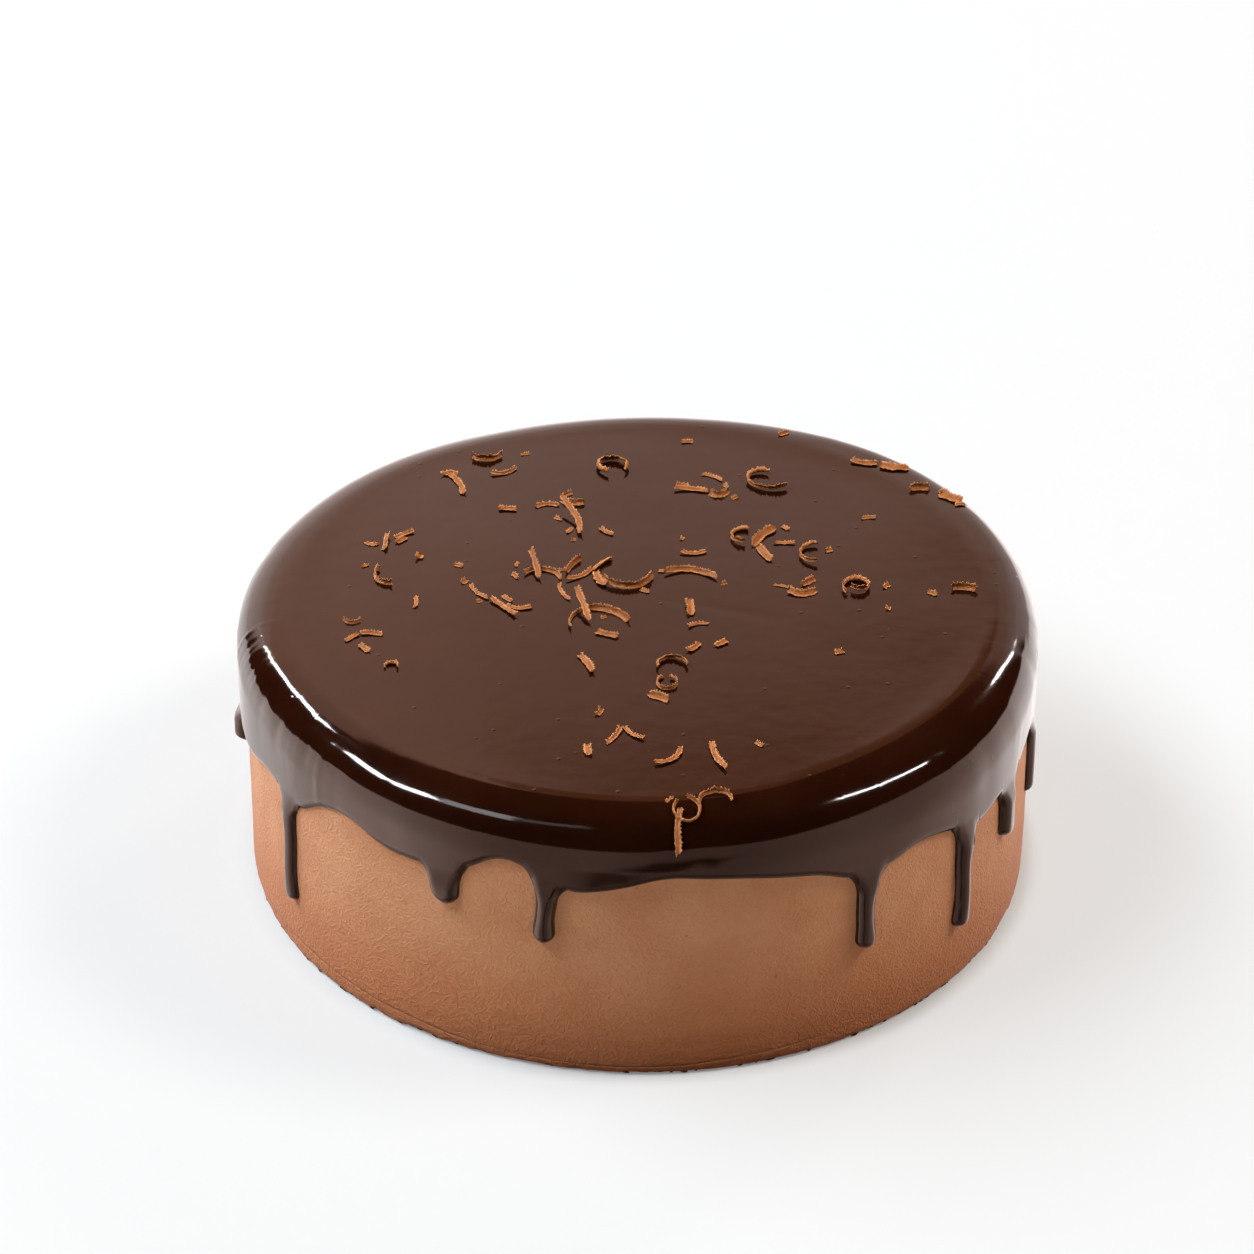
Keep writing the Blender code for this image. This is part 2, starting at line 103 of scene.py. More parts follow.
# Curls, as in the part: x, y, heading at the middle, length, bend, width of the band, and its lean from flat
# (0) to on edge (90). If it isn't 0, also how far the start is lifted above the glaze.
CURLS = (
    (-43, 71, 10, 10.5, 110, 2.6, 65), (-38, 63.5, 28, 9, 90, 1.4, 20), (-50.5, 56.5, -66, 12, -35, 2.2, 10),
    (-53, 62, 10, 5, -120, 2.2, 0), (-36.5, 43.5, 0, 5.5, -20, 2.2, 0), (-26, 46, 9, 7.5, -80, 1.8, 20),
    (-18.5, 38.5, -69, 17, -35, 2.2, 20, 3), (-19, 47.5, -10, 7, 45, 2.6, 35),
    (-21, 51, 60, 5.5, -80, 1.8, 30), (-9.5, 32.5, -40, 5.5, 60, 1.8, 0),
    (-72.5, 24.5, -9, 4.7, 120, 1.2, 0), (-68.5, 25, -96, 8.5, 0, 2, 15), (-64, 29.5, 31, 6.5, 0, 1.5, 0),
    (-64.5, 26.5, 46, 4.2, 0, 2.2, 0), (-69, 7.5, -58, 11, 130, 2.2, 60), (-59, -4.5, -87, 6, -55, 1.3, 0),
    (-43, 1, -55, 10, 85, 1.3, 10), (-36, -6.5, -50, 11, 0, 1.8, 0), (-32, -6.5, -5, 8, 100, 1.6, 0),
    (-28, 12.5, -78, 11, -25, 2, 10, 3), (-25.5, 11, -15, 14.5, -150, 1.8, 40),
    (-20.5, 1.5, -73, 9.5, 50, 1.2, 0), (-18.5, 14.5, 64, 9, -60, 2.2, 50), (-16, 10, 41, 10, 65, 1.4, 20),
    (-10.5, 15.5, -125, 9, 55, 2.2, 10), (-11, 8, -67, 8, 45, 2.6, 0), (-3, 6, 12, 17, 150, 2.6, 55),
    (-17.5, -11, 75, 12, -75, 1.4, 60), (-8, -8, -28, 14.5, -70, 2.6, 30),
    (-15, -7.5, -74, 12.5, 0, 2, 5, 4), (-8.5, -19, -23, 6.7, 0, 2.2, 0),
    (-13.5, -33, -68, 9.5, -20, 2.2, 0), (-75, -14, 0, 7, 180, 1.2, 60), (-69.5, -20, -4, 6.5, -20, 1.8, 0),
    (-74.5, -22, 51, 5.5, 0, 1.4, 0), (-71, -27, -56, 4.7, 0, 2, 0), (-6, -65.5, 65, 9, 38, 1.6, 0),
    (-1.5, -64.5, -50, 8.5, 70, 1.6, 0), (-12.5, -72, -89, 5, 0, 2.6, 0), (13.5, 55, -7, 10, -20, 2, 0),
    (21, 53, 7, 7, 130, 2.6, 40), (19.5, 62, -31, 7.5, -70, 1.2, 0), (61.5, 70, -12, 8, 60, 2.2, 0),
    (69.5, 67.5, -8, 8.5, 40, 3.4, 0), (76, 56.5, 9, 6, -80, 3, 45), (84, 51.5, -35, 7, 0, 3.2, 20),
    (32.5, 30.5, 53, 12, -60, 3.4, 15), (33, 22, -66, 8.5, 0, 2.8, 10), (38.5, 27.5, 0, 6.5, 0, 1.2, 0),
    (14, 22, 5, 8, 60, 1.4, 0), (13.5, 12, -10, 16.5, -85, 2.4, 25), (43, 2.5, 4, 9, 110, 2.6, 20),
    (44.5, 8, 48, 5.5, 0, 2.4, 30), (86, 5.5, -5, 7.6, -70, 2.8, 45), (13, -5.5, 95, 8, 10, 3, 0),
    (15, -13.5, 15, 6.5, -90, 1.2, 0), (14, -24.5, 53, 5.5, 25, 2.2, 0), (21, -22.5, 41, 4.5, 10, 2.2, 0),
    (5, -48, -28, 6.5, -20, 3, 15), (8, -75, 43, 11.5, 100, 1.7, 0), (19.5, -74.5, -67, 12.5, 35, 2, 0),
    (10, -102, -88, 12, 20, 2, 0), (18.5, -91, 11, 14.5, -190, 1.8, 50),
)

# Curls rolled into rings: the same values, and how much the roll opens along it, if at all.
ROLLS = (
    (-8.5, 67.5, 15, 22.5, -300, 2.4, 80), (33, 59.5, -60, 22, 260, 2, 80, 0, 0.5),
    (26, 31, -100, 12.5, 210, 1.9, 80), (44.5, 22, -90, 14.5, 190, 1.7, 80),
    (57, 6, 160, 20, 380, 2, 80, 0, 0.4), (8, -31.5, 10, 15, -220, 1.7, 75),
    (7, -41.5, 0, 14.5, 330, 1.4, 60), (-63.5, -35, 180, 7, 240, 1.3, 75),
    (12, -96.5, 200, 19, -330, 1.6, 55),
)

# Small flakes: x, y, heading, length, width.
FLAKES = (
    (-32.8, 73.6, 20, 3, 0.9), (-22.7, 39, -30, 2.5, 1.2), (-19.4, 33, 60, 3.8, 1.2),
    (-18.3, 28, 10, 1.7, 1), (-59.2, 18, 80, 2.4, 2.6), (-73.3, 13.3, 30, 2.2, 1),
    (-48.6, 13.9, -20, 2.5, 1.5), (-46.8, 6, 50, 2.1, 2), (-35.1, -2.2, -50, 4.3, 1.4),
    (-42.3, -3.6, 10, 1.8, 1.2), (-33, 14.9, 70, 2.5, 0.8), (-33.4, 9.1, -60, 3.1, 1.6),
    (-21, 12.7, 15, 2.6, 1), (1.1, 2.7, -35, 3, 1.6), (-9.7, -10.5, 40, 2, 1), (-10, -55, 65, 3.5, 1.8),
    (12.4, 81.2, 5, 3.8, 1.6), (39.5, 86, 30, 3.7, 2), (11, 57, -15, 3.8, 2), (25.2, 51, 45, 2.3, 1.2),
    (23, 57.3, -70, 2.8, 1.2), (86.5, 48.5, 20, 3.2, 1.6), (82, 54.5, -30, 2.6, 1.4),
    (61.6, 41, 10, 4.4, 1.2), (38.8, 35.5, -45, 2.9, 1.6), (50.4, 24, 25, 2.2, 2), (10.9, 29.5, 75, 2, 1.2),
    (5.4, 12.6, 0, 1.8, 1.3), (21.9, 6.8, 35, 1.9, 1.6), (37.3, 5.9, -10, 4.5, 0.9), (65.3, 6.3, 55, 3, 2),
    (77.3, 3, -25, 3.2, 1.8), (65.3, -4.6, 80, 2, 1.6), (51.5, -26, 15, 2.8, 2), (30, -68.3, -40, 2.8, 1.6),
    (7.7, -92.9, 50, 3.1, 0.8),
)


NOISE_ROWS = 97


def smooth_step(value, start, end):
    """0 before start, 1 after end, and the curve 3t^2 - 2t^3 between."""
    share = np.clip((value - start) / (end - start), 0, 1)
    return share * share * (3 - 2 * share)


def noise(across, along, cells, seed):
    """Smooth noise from -1 to 1: chance values at the points of a square lattice, blended in each cell with
    the curve 3t^2 - 2t^3. It repeats after so many cells across, and its rows along."""
    table = np.random.default_rng(seed).uniform(-1, 1, (cells, NOISE_ROWS))
    left, low = np.floor(across), np.floor(along)
    right_share, high_share = smooth_step(across - left, 0, 1), smooth_step(along - low, 0, 1)
    left, low = left.astype(int) % cells, low.astype(int) % NOISE_ROWS
    right, high = (left + 1) % cells, (low + 1) % NOISE_ROWS
    lower = table[left, low] * (1 - right_share) + table[right, low] * right_share
    upper = table[left, high] * (1 - right_share) + table[right, high] * right_share
    return lower * (1 - high_share) + upper * high_share


def around_noise(azimuth, height, width, tall, seed, octaves=1):
    """Noise round the cake, in patches this wide and tall. Each octave halves its size and strength."""
    result = 0.0
    for octave in range(octaves):
        finer = 2**octave
        cells = round(2 * math.pi * CAKE_RADIUS / width * finer)
        result = result + noise(azimuth / 360 * cells, height / tall * finer, cells, seed + octave) / finer
    return result


def softened(azimuth, around, values, steps):
    """Straight stretches between values given at azimuths, each place averaged with others near it."""
    return np.mean([np.interp(azimuth + step, around, values, period=360) for step in steps], axis=0)


def standing(azimuth, radius, height):
    """Points at these azimuths, radii and heights."""
    turn = np.radians(azimuth)
    return np.stack(np.broadcast_arrays(radius * np.sin(turn), -radius * np.cos(turn), height), axis=-1)


def degrees_from(azimuth, place):
    """How far an azimuth is from another, from -180 to 180 degrees."""
    return np.remainder(azimuth - place + 180, 360) - 180


def lean_in(azimuth, height):
    """How far the side leans in from upright at a height: a little all round, and more in a bell shape about
    the right side, growing smoothly from the foot to the shoulder."""
    return (0.12 + 0.7 * np.exp(-((degrees_from(azimuth, 85) / 30) ** 2))) * smooth_step(height, 5, 62)


def over_cake(azimuth, run, share, lift=0.0):
    """Points of the skin over the cake: straight down the side, a quarter circle over the shoulder, and level
    on top, with the rim's rise and, round the side, three sine waves. run is the way up from the shoulder's
    start, over the widest rounding, and is stretched where the rounding is less. share goes from the skin's
    inner face (0) to its outer face (1), and lift is off that face."""
    around, *values = np.array(RIM, float).T
    rounding, rise = (softened(azimuth, around, value, RIM_SOFTENING) for value in values)
    straight = TOP_ROUNDING - rounding
    stretch = (2 * straight + rounding * math.pi / 2) / TOP_RUN
    way = np.where(run < 0, run, np.minimum(run, TOP_RUN) * stretch + np.maximum(run - TOP_RUN, 0))
    angle = np.clip((way - straight) / rounding, 0, math.pi / 2)
    level = np.maximum(way - straight - rounding * math.pi / 2, 0)
    across, up = np.cos(angle), np.sin(angle)
    outer_radius = OUTER_RADIUS - rounding + rounding * across - level
    outer_height = SHOULDER_HEIGHT + np.minimum(way, straight) + rounding * up
    outer_height = outer_height + rise * up * np.minimum(outer_radius / OUTER_RADIUS, 1) ** 2
    inner = CAKE_SHOULDER + 0.3
    inner_angle = np.clip(run / TOP_ROUNDING, 0, math.pi / 2)
    inner_radius = INNER_RADIUS - inner + inner * np.cos(inner_angle) - np.maximum(run - TOP_RUN, 0)
    inner_height = SHOULDER_HEIGHT + inner * np.sin(inner_angle) + np.minimum(run, 0)
    waves = sum(size * np.sin(np.radians(count * azimuth + phase)) for count, phase, size in WAVES)
    off = lift + waves * across * share
    radius = inner_radius + (outer_radius - inner_radius) * share + off * across
    height = inner_height + (outer_height - inner_height) * share + off * up
    radius = radius - lean_in(azimuth, height) * np.minimum(radius / OUTER_RADIUS, 1)
    return standing(azimuth, radius, height)


def edge_height(azimuth):
    """Height of the glaze's edge line, softened."""
    return softened(azimuth, *np.array(EDGE, float).T, EDGE_SOFTENING)


def drip_half_width(below, half_width):
    """Half a drip's width at a distance below the edge line: a neck that flares out towards the line."""
    return half_width * (NECK + FLARE * np.exp(-below / (FLARE_RUN * half_width)))


DRIP_COLUMNS = 27
TIP_SHARE = 0.42
EDGE_STEP = 0.52


def drip_columns(azimuth, tip, half_width):
    """One drip's columns, left to right: each starts on its outline, down its neck and round its tip, and
    fans out to its mouth. Each has the drip's azimuth and half width, its share of that where it starts and
    at the edge line, how far below the line it starts, the line's height, and the drip's length."""
    length = float(edge_height(azimuth)) - tip
    rounding = min(half_width, 0.6 * length)
    neck = length - rounding
    place = np.linspace(0, 1, DRIP_COLUMNS)
    turn = np.clip((place - 1 + TIP_SHARE) / TIP_SHARE, 0, 1) * math.pi / 2
    start = neck * np.clip(place / (1 - TIP_SHARE), 0, 1) ** 1.3 + rounding * np.sin(turn)
    side = np.r_[-np.ones(DRIP_COLUMNS), np.ones(DRIP_COLUMNS - 1)]
    order = np.r_[np.arange(DRIP_COLUMNS), np.arange(DRIP_COLUMNS - 1)[::-1]]
    start, share, spread = start[order], np.cos(turn)[order] * side, (1 - place)[order] * side
    mouth = np.degrees(spread * drip_half_width(0, half_width) / INNER_RADIUS)
    line = edge_height(azimuth + mouth * (1 - start / length))
    columns = np.broadcast_arrays(azimuth, half_width, share, spread, start, line, length)
    return np.stack(columns, axis=1)


def edge_columns(start, end):
    """The columns between two drips, which start on the edge line."""
    azimuth = np.linspace(start, end, int((end - start) / EDGE_STEP) + 2)[1:-1]
    return np.stack(np.broadcast_arrays(azimuth, 1, 0, 0, 0, edge_height(azimuth), 1), axis=1)


def glaze_columns():
    """The columns all round the glaze, in order of azimuth."""
    columns = []
    for drip, after in zip(DRIPS, DRIPS[1:] + DRIPS[:1]):
        half, next_half = (math.degrees(drip_half_width(0, row[2]) / INNER_RADIUS) for row in (drip, after))
        end = after[0] - next_half + 360 * (after[0] < drip[0])
        columns += [drip_columns(*drip), edge_columns(drip[0] + half, end)]
    return np.vstack(columns)


BULB = 0.2


def column_points(columns, below):
    """Azimuth and height of points on the columns, at these distances below the edge line. A drip swells
    round its tip, and sways a little."""
    azimuth, half_width, share, spread, start, line, length = columns.T
    along = np.clip(below / np.maximum(start, 0.001), 0, 1)
    down = np.maximum(below, 0)
    bulb = 1 + BULB * np.exp(-(((length - down - half_width) / (1.1 * half_width)) ** 2)) * (down > 0)
    across = (spread + (share - spread) * along) * drip_half_width(down, half_width) * bulb
    sway = 0.3 * np.sin(down * 0.28 + azimuth) * np.minimum(down / 6, 1)
    return azimuth + np.degrees((across + sway) / INNER_RADIUS), line - below


def distance_to_edge(azimuth, height, edge):
    """Distance over the cake's side from each point to the glaze's edge: the nearest of short straight
    stretches between azimuths and heights."""
    scale = (INNER_RADIUS * math.radians(1), 1)
    turn = 2 * math.pi * INNER_RADIUS
    start = np.stack(edge, axis=1) * scale
    run = np.roll(start, -1, axis=0) - start
    run[-1, 0] += turn
    to = (np.stack([azimuth, height], axis=-1) * scale)[..., None, :] - start
    to[..., 0] -= turn * np.round(to[..., 0] / turn)
    along = np.clip((to * run).sum(axis=-1) / (run * run).sum(axis=-1), 0, 1)
    return np.linalg.norm(to - along[..., None] * run, axis=-1).min(axis=-1)


EDGE_SINK = -0.42
EDGE_ROUNDING = 2.6
EDGE_ROWS = (0, 0.12, 0.3, 0.55, 0.85, 1.2, 1.6, 2.1, 2.7, 3.5)
MIDDLE_ROWS = 9
SHOULDER_ROWS = 17
TOP_RADII = (91, 88, 84, 79, 73, 66, 58, 49, 39, 28, 16, 6)


def glaze_share(columns, below, azimuth, height, edge):
    """The glaze's thickness as a share of its skirt's: a quarter round at its edge, and fuller in the
    drips."""
    half_width = columns[:, 1]
    full = 1 + (DRIP_THICKNESS / SKIRT - 1) * smooth_step(below / (1.5 * half_width), 0, 1)
    inside = np.clip(distance_to_edge(azimuth, height, edge) / EDGE_ROUNDING, 0, 1)
    return EDGE_SINK + (full - EDGE_SINK) * np.sqrt(1 - (1 - inside) ** 2)


# Folds that the glaze set in on its way down: azimuth, run up from the shoulder's start, half width, half
# height, and how deep it lies, less than nothing for a ridge.
FOLDS = (
    (-48.3, 11, 2.2, 5, 0.03), (-61, 5, 2.4, 7, 0.22), (-56, 3, 2.4, 9, -0.14), (-53, 6, 1.5, 5, 0.18),
    (-49.8, 0, 1.1, 8, -0.22), (-46, -3, 2.4, 9, 0.14), (-67, 4, 2.4, 9, 0.18), (-71, 8, 0.8, 5, -0.15),
    (-73.5, 8, 0.7, 5, 0.16), (-76, 8, 0.7, 5, -0.16), (-78.5, 7, 0.8, 5, 0.16), (-81.5, 6, 0.9, 6, -0.15),
    (-36, -4, 3.5, 6, 0.12), (-3.9, -4.2, 2.8, 3.5, 0.16), (4, 3.9, 2.2, 3, 0.07), (8.8, 1.2, 3, 3.6, 0.14),
    (48, 10, 3, 4, 0.09), (57, 0, 4.5, 11, 0.2), (67, -2, 4, 11, -0.16), (79, 1, 3.6, 11, 0.2),
    (89, 0, 3, 9, -0.18), (120, 3, 4, 9, 0.25), (148, 1, 3.5, 9, -0.2), (171, 3, 4, 8, 0.25),
    (-104, 2, 3.4, 9, 0.25), (-127, 1, 3, 9, -0.22), (-155, 3, 4, 8, 0.25),
)


def flow(azimuth, run):
    """How far the glaze's face lies under its even surface: broad soft runs down the side, and the folds,
    each a bell-shaped hollow or ridge."""
    under = 0.12 + 0.12 * around_noise(azimuth, run, 30, 60, 11, 3) * (1 - 0.6 * smooth_step(run, 0, 12))
    for place, centre, half_width, half_height, depth in FOLDS:
        aside = np.radians(degrees_from(azimuth, place)) * OUTER_RADIUS / half_width
        under = under + depth * np.exp(-(aside**2) - ((run - centre) / half_height) ** 2)
    return np.maximum(under, 0)


TOP_WAVE_DEPTH = 0.08
TOP_WAVE_WIDTH = 45
CREASE_DEPTH = 0.035
CREASE_MIDDLE = 22


def top_waves(points):
    """How far the top lies under its even height: broad shallow patches, and one soft crease right of the
    middle, a bell shape across a slanting line."""
    x, y = points[..., 0], points[..., 1]
    along = x - CREASE_MIDDLE
    crease = CREASE_DEPTH * np.exp(-(((y + 5.9 + 0.3 * along) / 2.2) ** 2) - (along / 8) ** 2)
    waves = noise(x / TOP_WAVE_WIDTH + 50, y / TOP_WAVE_WIDTH + 50, NOISE_ROWS, 31)
    return TOP_WAVE_DEPTH * (1 + waves) + crease


def on_glaze(azimuth, run, lift=0.0):
    """Points this far over the glaze's face, on its shoulder and top: the even skin, less its flow, which
    fades out at the rim, and less the waves of the top, which begin inside it."""
    fading = 1 - smooth_step(run, TOP_RUN - 4, TOP_RUN)
    points = over_cake(azimuth, run, 1, lift - flow(azimuth, run) * fading)
    points[..., 2] -= top_waves(points) * smooth_step(np.hypot(points[..., 0], points[..., 1]), 94, 84)
    return points


def closed_shell(rings):
    """Points and faces of a closed shell through rings of points: four-sided faces between rings, and a fan
    of triangles to a pole over each end."""
    count, around = rings.shape[:2]
    points = np.vstack([rings.reshape(-1, 3), rings[0].mean(axis=0), rings[-1].mean(axis=0)])
    ring = np.arange(around)
    after = np.roll(ring, -1)
    low = (np.arange(count - 1) * around)[:, None]
    quads = np.stack([low + ring, low + after, low + around + after, low + around + ring], axis=-1)
    pole = np.full(around, count * around)
    last = (count - 1) * around
    fans = [np.stack(fan, axis=1) for fan in ((after, ring, pole), (last + ring, last + after, pole + 1))]
    faces = quads.reshape(-1, 4).tolist() + np.vstack(fans).tolist()
    return points, outwards(points, faces)


def outwards(points, faces):
    """The faces, turned round if they enclose a negative volume, so that they all point outwards."""
    corners = np.array([face[:3] for face in faces])
    fourth = np.array([face[-1] for face in faces])
    a, b, c, d = (points[i] for i in (*corners.T, fourth))
    volume = (np.cross(a, b) * c).sum() + (np.cross(a, c) * d).sum()
    return faces if volume > 0 else [face[::-1] for face in faces]


def new_object(name, data):
    """An object in the scene with this mesh, light or camera."""
    made = bpy.data.objects.new(name, data)
    bpy.context.scene.collection.objects.link(made)
    return made


def make_piece(name, points, faces, slot, material, **values):
    """A smooth piece of the cake, its points given in millimetres and held inside the part's box, with values
    at them for its material to read."""
    low, high = (np.array(corner) / MM for corner in CAD_BOX)
    mesh = bpy.data.meshes.new(name)
    mesh.from_pydata((np.clip(points, low, high) * MM).tolist(), [], faces)
    for key, value in values.items():
        mesh.attributes.new(key, "FLOAT", "POINT").data.foreach_set("value", value.astype(np.float32))
    mesh.shade_smooth()
    mesh.materials.append(material)
    piece = new_object(name, mesh)
    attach(piece, "root")
    return piece


def poured_glaze(material):
    """The glaze: a skin over the top and shoulder, with drips down the side. Its face runs from the middle of
    the top over the shoulder and down each column to its edge, and its back runs up inside again."""
    columns = glaze_columns()
    start, line = columns[:, 4], columns[:, 5]
    edge = column_points(columns, start)
    mouth = column_points(columns, start * 0)[0]
    upper = np.minimum(start - EDGE_ROWS[-1], 0) - 1.0
    rows = [start - rise for rise in EDGE_ROWS]
    rows += [rows[-1] + (upper - rows[-1]) * share for share in np.linspace(0, 1, MIDDLE_ROWS)[1:]]
    outer = []
    for below in rows:
        azimuth, height = column_points(columns, below)
        share = glaze_share(columns, below, azimuth, height, edge)
        run = height - SHOULDER_HEIGHT
        outer.append(over_cake(azimuth, run, share, -flow(azimuth, run) * smooth_step(share, 0.2, 1)))
    reached = line - upper - SHOULDER_HEIGHT
    for share in np.linspace(0, 1, SHOULDER_ROWS)[1:]:
        outer.append(on_glaze(mouth, reached + (TOP_RUN - reached) * share))
    outer += [on_glaze(mouth, RIM_RUN - radius + 0 * mouth) for radius in TOP_RADII]
    inner = []
    for below in (start - 0.4, upper):
        azimuth, height = column_points(columns, below)
        inner.append(over_cake(azimuth, height - SHOULDER_HEIGHT, EDGE_SINK - 0.2))
    inner += [over_cake(mouth, TOP_ROUNDING * math.radians(angle), 0) for angle in (30, 60, 90)]
    points, faces = closed_shell(np.array(outer[::-1] + inner))
    piece = make_piece("poured_glaze", points, faces, "fudge_glaze", material)
    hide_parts("fudge_glaze")


COAT_COLUMNS = 900
COAT_HEIGHTS = np.r_[np.linspace(64, 9.5, 60), np.linspace(9.2, 0, 42)]

# The buttercream's unevenness, as depth, width, height, seed and octaves, then its finer marks.
BROAD_WAVES = (0.14, 34, 30, 41, 2)
ORANGE_PEEL = (0.035, 2.3, 1.7, 43, 2)
STROKES = (0.03, 26, 2.2, 45, 2)
PIT_DEPTH = 0.25
LINE_HEIGHT = 3.5
LINE_SWAY = 1.2
LINE_WIDTH = 0.22
LINE_DEPTH = 0.16
FOOT_BAND_STEP = 0.02
RAGGED_HEIGHT = 2.2
NICK_DEPTH = 0.5
EVEN_HOLLOW = 0.3


def coat_relief(azimuth, height):
    """The buttercream's surface off an even cylinder: broad waves, a soft orange peel, level strokes of the
    scraper, a few small pits, the scraper's line above the foot, four waves long, with a band that stands out
    under it, and a ragged foot with nicks. Also how deep it is hollowed, from 0 to 1."""
    broad, peel, strokes = (depth * around_noise(azimuth, height, *shape)
                            for depth, *shape in (BROAD_WAVES, ORANGE_PEEL, STROKES))
    pits = smooth_step(around_noise(azimuth, height, 2.1, 1.7, 47), 0.9, 0.99)
    level = height * 0
    line = LINE_HEIGHT + LINE_SWAY * np.sin(np.radians(4 * azimuth + 290))
    line += 0.2 * around_noise(azimuth, level, 12, 9, 52)
    shown = np.clip(0.65 + 0.6 * around_noise(azimuth, level, 34, 10, 50), 0.2, 1)
    scraped = np.exp(-(((height - line) / LINE_WIDTH) ** 2)) * shown
    band = FOOT_BAND_STEP * smooth_step(line - height, 0, 0.6)
    foot = smooth_step(RAGGED_HEIGHT - height, 0, RAGGED_HEIGHT)
    ragged = foot * (0.15 + 0.35 * np.abs(around_noise(azimuth, height, 4.5, 3, 51, 2)))
    nicks = foot * smooth_step(around_noise(azimuth, level, 6, 9, 53), 0.45, 0.8)
    off = broad + peel + strokes - PIT_DEPTH * pits - LINE_DEPTH * scraped + band - ragged
    off -= NICK_DEPTH * nicks
    # How deep it is hollowed; the material paints this as shade, deep brown in the dips.
    hollow = np.clip(0.25 - 2.2 * peel - 1.5 * strokes + 0.6 * pits + 0.9 * scraped + 0.6 * nicks, 0, 1)
    return off, hollow


def buttercream_coat(material):
    """The coated cake: a cylinder about the Z axis with a rounded shoulder and a flat foot, its side lifted
    and hollowed by the relief."""
    azimuth = np.arange(COAT_COLUMNS) * 360 / COAT_COLUMNS
    around, up = np.meshgrid(azimuth, COAT_HEIGHTS)
    off, hollow = coat_relief(around, up)
    chamfer = FOOT_CHAMFER * (1 - np.sqrt(1 - (1 - np.clip(up / FOOT_CHAMFER, 0, 1)) ** 2))
    angle = np.array([[math.pi / 2], [math.pi / 4]]) + 0 * azimuth
    shoulder = CAKE_RADIUS - CAKE_SHOULDER * (1 - np.cos(angle))
    shoulder_height = SHOULDER_HEIGHT + CAKE_SHOULDER * np.sin(angle)
    level = 0 * azimuth
    radius = np.vstack([level + 50, shoulder, CAKE_RADIUS + off - chamfer, level + 60])
    up = np.vstack([level + CAKE_HEIGHT, shoulder_height, up, level])
    radius = radius - lean_in(azimuth, up) * radius / CAKE_RADIUS
    points, faces = closed_shell(standing(azimuth, radius, up))
    hollow = np.pad(hollow, ((3, 1), (0, 0)), constant_values=EVEN_HOLLOW)
    hollow = np.r_[hollow.ravel(), EVEN_HOLLOW, EVEN_HOLLOW]
    piece = make_piece("buttercream_coat", points, faces, "buttercream", material, hollow=hollow)
    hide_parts("cake_body")


CURL_THICKNESS = 0.3
CURL_SINK = 0.1
BAND_SHARE = 0.65
TOOTH_SPACING = 0.8
TOOTH_HEIGHT = 0.42
BAND_SIDES = 7
RIB_DEPTH = 0.05
CURL_HOLLOW = 0.25
PATH_POINTS = 200


